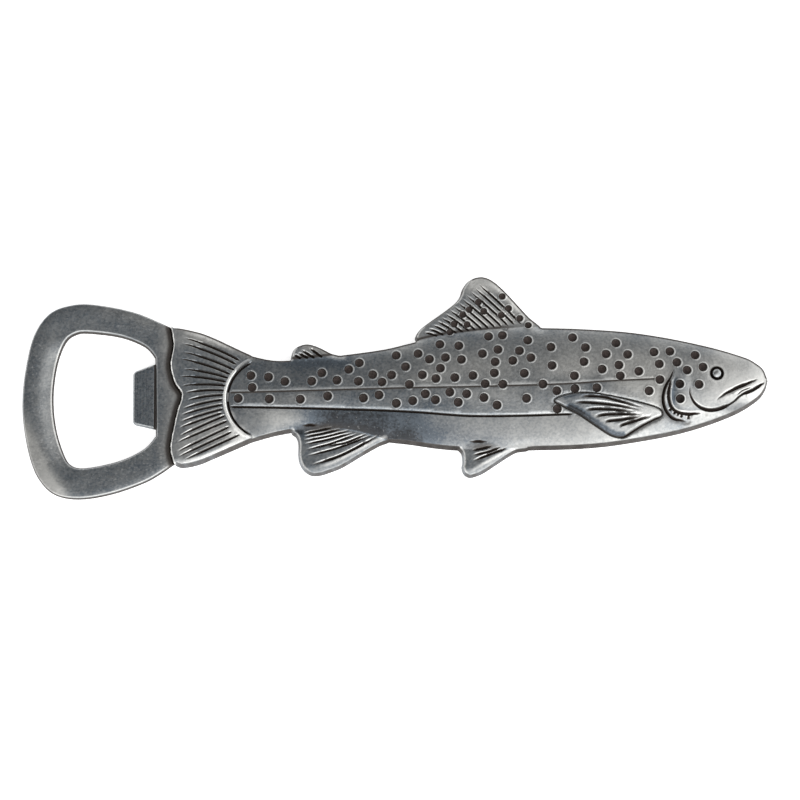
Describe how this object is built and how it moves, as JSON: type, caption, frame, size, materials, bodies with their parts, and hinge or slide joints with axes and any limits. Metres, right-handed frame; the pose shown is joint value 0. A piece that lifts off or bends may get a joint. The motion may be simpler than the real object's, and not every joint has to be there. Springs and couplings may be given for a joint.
{
  "type": "souvenir bottle opener",
  "caption": "Flat cast bottle opener shaped like a trout, with a ring and a pry lip behind its tail for lifting crown caps.",
  "frame": {"origin": "middle of the outline's box, on the flat back face", "axes": "+X along the length towards the fish's nose, +Y towards its dorsal fin, +Z out of the relief face"},
  "size_m": [0.178, 0.0538, 0.0074],
  "materials": {
    "antique_pewter": "antique pewter, bright on raised edges and brown-black in the recesses",
    "ring_pewter": "smooth dark pewter with a fine speckle",
    "lip_steel": "dark plated steel, lightly brushed",
    "rivet_steel": "satin",
    "spot_enamel": "dark brown, satin",
    "eye_metal": "polished"
  },
  "bodies": {
    "root": {"fish_body": "antique_pewter", "opener_frame": "ring_pewter", "pry_lip": "lip_steel", "tang_rivets": "rivet_steel", "spot_enamel": "spot_enamel", "eye_stud": "eye_metal"}
  },
  "joints": []
}
